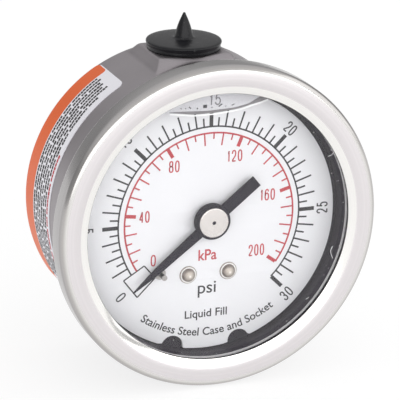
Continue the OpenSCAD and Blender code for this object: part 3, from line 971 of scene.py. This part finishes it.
def air_bubble():
    """The bubble left above the liquid, seen through the top of the window: a painted dark band at
    the liquid's edge, a painted glint below it and painted shade over the air.
    """
    back = WINDOW_HIGH.y
    low, high = smooth_line(SURFACE_LOW), smooth_line(SURFACE_HIGH)
    # The liquid's edge is a painted dark band.
    edge = Shape()
    edge.strip(low, high, back + 0.02, back + 0.3)
    make_piece("bubble_edge", edge, BUBBLE_EDGE_SHADE)
    glint = Shape()
    below = [(x, z - 0.3) for x, z in low]
    glint.ribbon(below, 0.26, back + 0.02, back + 0.12)
    make_piece("bubble_glint", glint, BUBBLE_GLINT)
    # A half-clear grey film over the air above the liquid: painted shade.
    air = Shape()
    start, end = (math.degrees(math.atan2(*p)) for p in (high[0], high[-1]))
    last = len(high) - 1
    top = [clock(RING_WALL_R, start + (end - start) * i / last) for i in range(last + 1)]
    air.strip(high, top, back + 0.14, back + 0.18)
    make_piece("bubble_air_shade", air, BUBBLE_AIR_SHADE)
    marks = Shape()
    for a, b, wide in BUBBLE_MARKS:
        marks.bar(a, b, wide, back + 0.03, back + 0.1)
    make_piece("bubble_marks", marks, PRINT_BLACK)


# Bent lines of the pale strokes, as points.
PALE_STROKES = (((24.5, 12.5), (25.3, 12.8), (25.9, 13.5)), ((25.0, 13.9), (25.9, 13.6)),
        ((26.2, -7.4), (25.8, -8.5), (26.3, -10.1)), ((27.7, -7.6), (27.8, -7.3)),
        ((26.9, 6.9), (27.0, 7.05)), ((28.2, 2.0), (28.3, 2.15)), ((20.5, -18.6), (21.2, -18.2)))


def lint():
    """Fine pale strokes in the liquid, close behind the window."""
    back = WINDOW_HIGH.y
    shape = Shape()
    for line in PALE_STROKES:
        shape.ribbon(smooth_line(line, 3), 0.09, back + 0.03, back + 0.08)
    make_piece("lint", shape, BUBBLE_GLINT)


# -------- pointer

POINTER_ANGLE = -129.2
POINTER_REACH = 22.1
TAIL_REACH = 12.5
BLADE_FRONT, BLADE_REAR = -2.0, -1.5


def pointer_blade():
    """Black blade, tail and boss; the boss has a rolled front edge."""
    along, side = clock(1, POINTER_ANGLE), clock(1, POINTER_ANGLE + 90)
    half = [(-TAIL_REACH, 1.3), (0, 1.3), (0, 1.15), (14, 0.8), (17.5, 0.55), (POINTER_REACH, 0.06)]
    outline = half + [(r, -h) for r, h in reversed(half)]
    points = [(along[0] * r + side[0] * h, along[1] * r + side[1] * h) for r, h in outline]
    shape = filled([points], BLADE_FRONT, BLADE_REAR, bevel=0.06)
    boss = [(1.2, -2.55), (3.55, -2.6), (3.72, -2.55), (3.8, -2.4), (3.8, -1.1), (3.65, -0.9)]
    shape.join(lathe(boss + [(1.2, -0.9)], 144))
    make_piece("pointer_blade", shape, POINTER_BLACK, body="pointer_group",
               replaces=["pointer"])


def hub_cap():
    """Bright turned cap with a small centre dimple, and its bush; a black disc fills the dimple as
    painted shade.
    """
    profile = [(0.36, -2.7), (0.36, -2.94), (0.42, -3.0), (2.95, -3.0)]
    profile += arc((2.95, -2.75), 0.25, 270, 360, 5)[1:]
    profile += [(3.2, -2.6), (1.2, -2.6), (1.2, -0.5), (0.62, -0.5), (0.62, -2.4), (0.001, -2.4)]
    profile += [(0.001, -2.7)]
    make_piece("hub_cap", lathe(profile, 144), BRIGHT_STEEL, body="pointer_group",
               replaces=["pointer_hub"])
    # A black disc in the dimple: painted shade.
    dot = [(0.001, -2.99), (0.3, -2.99), (0.34, -2.95), (0.34, -2.75), (0.001, -2.75)]
    make_piece("hub_dimple_shade", lathe(dot, 48), POINTER_BLACK, body="pointer_group")


# -------- plug and label


def plug_piece():
    """Rubber plug: stem, waisted rim with a crowned top, and a pointed cone that is cut to vent."""
    seat = PAD_TOP + 0.05
    rim = PLUG_HIGH.x
    low = PLUG_LOW.z
    crown = seat + 2.08
    tip = PLUG_HIGH.z
    tip_r = 0.3
    profile = [(0.001, low), (3.3, low), (3.75, low + 0.18), (4, low + 0.6), (4, seat)]
    waist = ((0.32, 0), (0.22, 0.08), (0.2, 0.3), (0.23, 0.48), (0.27, 0.66), (0.22, 0.84),
             (0.08, 1.1), (0, 1.32), (0.02, 1.5), (0.14, 1.66), (0.36, 1.76), (0.7, 1.83))
    profile += [(rim - inset, seat + rise) for inset, rise in waist]
    cone = ((6, -0.14), (4.2, -0.06), (2.7, -0.02), (2.15, 0.05), (1.95, 0.25), (1.86, 0.7),
            (1.68, 1.5), (1.35, 2.6), (0.92, 3.75))
    profile += [(radius, crown + rise) for radius, rise in cone]
    profile += [(0.55, tip - 0.85)]
    for a in (math.radians(5), math.radians(30), math.radians(60)):
        profile.append((tip_r * math.cos(a), tip - tip_r + tip_r * math.sin(a)))
    profile += [(0.001, tip)]
    make_piece("plug_rubber", lathe(profile, 144, upright=PLUG_DEPTH), RUBBER, body="plug",
               replaces=["fill_plug"], sharp=50)


LABEL_FROM, LABEL_TO = -125.0, -29.0
LABEL_R = CASE_R + 0.12
PRINTED = (LABEL_R - 0.02, LABEL_R + 0.015)
BAND_WIDTH = 5.0
ROW_PITCH = 1.2
RED_ROW = 7


def film(shape, start, end, front, rear, inner, outer, corner=0.0):
    """A patch on the case wall between two clock angles and depths, with round corners."""
    per_mm = 360 / (2 * math.pi * CASE_R)
    turn = corner * per_mm
    ends = []
    if corner:
        ends = [turn * (1 - math.cos(math.radians(a))) for a in (0, 20, 40, 60, 75)]
    angles = [start + t for t in ends]
    angles += steps_between(start + turn, end - turn, ROUND_STEP)
    angles += [end - t for t in reversed(ends)]
    points = []
    for a in angles:
        gap = min(a - start, end - a) / per_mm
        inset = 0.0
        if gap < corner:
            inset = corner - math.sqrt(corner ** 2 - (corner - gap) ** 2)
        for radius, depth in ((outer, front + inset), (outer, rear - inset),
                              (inner, rear - inset), (inner, front + inset)):
            points.append(placed_round(radius, a, depth))
    shape.add(points, tube_faces(len(angles), 4, closed=False))


def label_pieces():
    """White film with an orange band, and short dark and red bars in place of its words."""
    rear = LABEL_HIGH.y
    base = Shape()
    film(base, LABEL_FROM, LABEL_TO, LABEL_LOW.y, rear, CASE_R - 0.02, LABEL_R, corner=1.6)
    make_piece("label_film", base, LABEL_WHITE, replaces=["side_label"])
    band = Shape()
    film(band, LABEL_FROM + 0.5, LABEL_TO - 0.4, rear - BAND_WIDTH, rear - 0.12, *PRINTED,
         corner=0.9)
    make_piece("label_band", band, LABEL_ORANGE)
    for name, material, rows in (("label_bars", LABEL_INK, range(RED_ROW)),
                                 ("label_bars_red", PRINT_RED, (RED_ROW,))):
        bars = Shape()
        for row in rows:
            word_row(bars, row)
        make_piece(name, bars, material)


def word_row(shape, row):
    """One line of small blocks round the label, grouped like words."""
    rng = random.Random(100 + row)
    first_row = 0.75
    above = 0.34
    margin, ragged = 4.0, 3
    block_gap, word_gap = 0.2, 0.8
    depth = LABEL_HIGH.y - BAND_WIDTH - first_row - row * ROW_PITCH
    stop = LABEL_FROM + margin + rng.uniform(0, ragged)
    if row == RED_ROW:
        angle = -66.0
    else:
        angle = LABEL_TO - margin - rng.uniform(0, ragged) - (4 if row > 5 else 0)
    left = rng.randint(3, 9)
    while angle > stop:
        width = rng.uniform(0.9, 1.6)
        tall = rng.choice((0.36, 0.36, 0.5))
        film(shape, angle - width, angle, depth - tall, depth + above, *PRINTED)
        left -= 1
        angle -= width + block_gap
        if left == 0:
            left = rng.randint(2, 8)
            angle -= word_gap


# -------- stage, lights and camera


def stage():
    """Plain pale floor under the lowest point of the bezel."""
    size = 6.0
    gap = 0.0002
    grey, glow = 0.25, 0.76
    level = BEZEL_LOW.z * MM - gap
    mesh = bpy.data.meshes.new("floor")
    corners = [(-size, -size), (size, -size), (size, size), (-size, size)]
    mesh.from_pydata([(x, y, level) for x, y in corners], [], [(0, 1, 2, 3)])
    floor = add_object("floor", mesh)
    white = Paint("floor_white", shade(grey), 0.9, Emission_Strength=glow)
    white.set("Emission Color", (1, 1, 1, 1))
    mesh.materials.append(white.material)


def lamp(name, place, aim, size, power):
    """A rectangular lamp of some watts, turned to a point."""
    data = bpy.data.lights.new(name, "AREA")
    data.shape = "RECTANGLE"
    data.size, data.size_y = size
    data.energy = power
    made = add_object(name, data)
    made.location = place
    made.rotation_mode = "QUATERNION"
    made.rotation_quaternion = (Vector(aim) - Vector(place)).to_track_quat("-Z", "Y")


# Brightness of the room by height above the horizon, from 0 to straight up.
SKY = ((0.0, 0.7), (0.13, 0.5), (0.33, 0.5), (0.52, 0.8), (0.7, 1.0))


def lights():
    """Soft studio: a bright ceiling over a dimmer band near the horizon, a wide front key and a
    weaker lamp at the side."""
    world = bpy.data.worlds.new("studio")
    bpy.context.scene.world = world
    world.use_nodes = True
    tree = world.node_tree
    room = tree.nodes["Background"]
    direction = tree.nodes.new("ShaderNodeTexCoord")
    split = tree.nodes.new("ShaderNodeSeparateXYZ")
    levels = tree.nodes.new("ShaderNodeValToRGB")
    tree.links.new(direction.outputs["Generated"], split.inputs[0])
    tree.links.new(split.outputs["Z"], levels.inputs[0])
    fill_ramp(levels.color_ramp, [(height, shade(grey)) for height, grey in SKY])
    tree.links.new(levels.outputs[0], room.inputs["Color"])
    room.inputs["Strength"].default_value = 0.9
    aim = placed(0, 5, 0)
    lamp("key", (-0.05, -0.95, 0.27), aim, (2.0, 0.55), 6.2)
    lamp("side", (1.0, -0.35, 0.42), aim, (0.9, 0.8), 2.2)


# Azimuth, elevation and roll in degrees; the rest in millimetres.
CAMERA_TURN = (-21.16, 18.58, 1.22)
CAMERA_TARGET = (-1.88, 0, 4.07)
CAMERA_DISTANCE = 700
CAMERA_LENS = 304.96


def camera():
    """A long lens from the front left, a little above."""
    azimuth, elevation, roll = (math.radians(a) for a in CAMERA_TURN)
    back = Vector((math.sin(azimuth) * math.cos(elevation),
                   -math.cos(azimuth) * math.cos(elevation), math.sin(elevation)))
    right = Vector((math.cos(azimuth), math.sin(azimuth), 0))
    up = back.cross(right)
    tilted_right = right * math.cos(roll) + up * math.sin(roll)
    tilted_up = up * math.cos(roll) - right * math.sin(roll)
    data = bpy.data.cameras.new("camera")
    data.lens = CAMERA_LENS
    data.sensor_width = 36.0
    data.clip_start = 0.05
    data.clip_end = 50
    made = add_object("camera", data)
    turn = Matrix((tilted_right, tilted_up, back)).transposed().to_4x4()
    target = Vector(placed(*CAMERA_TARGET))
    made.matrix_world = Matrix.Translation(target + back * (CAMERA_DISTANCE * MM)) @ turn
    bpy.context.scene.camera = made


# CAD nodes that are shown as they stand, by the material they are given.
CARRIED = (
    (GLASS, ("window",)),
    (RUBBER, ("window_gasket", "socket_oring")),
    (PIN_STEEL, ("stop_pin",)),
    (TUBE_ALLOY, ("hairspring", "bourdon_tube")),
    (SOCKET_STEEL, ("socket",)),
    (BRIGHT_STEEL, ("sector_arbor", "tail_screw", "tip_screw", "tube_end", "plate_screws",
                    "mounting_screws", "back_screws")),
    (BRASS, ("dial_posts", "pinion", "hairspring_collet", "hairspring_stud", "sector_gear",
             "link", "front_plate", "back_plate", "pillars", "restrictor")),
)


def finish_carried_nodes():
    """Gives those CAD nodes their materials."""
    for material, names in CARRIED:
        for name in names:
            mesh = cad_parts[name].data
            mesh.materials.clear()
            mesh.materials.append(material)


camera()
lights()
stage()
finish_carried_nodes()
case_shell()
bezel_ring()
inner_ring()
dial_plate()
black_print()
red_print()
dial_fasteners()
air_bubble()
lint()
pointer_blade()
hub_cap()
plug_piece()
label_pieces()

bpy.context.scene.view_settings.view_transform = "Standard"
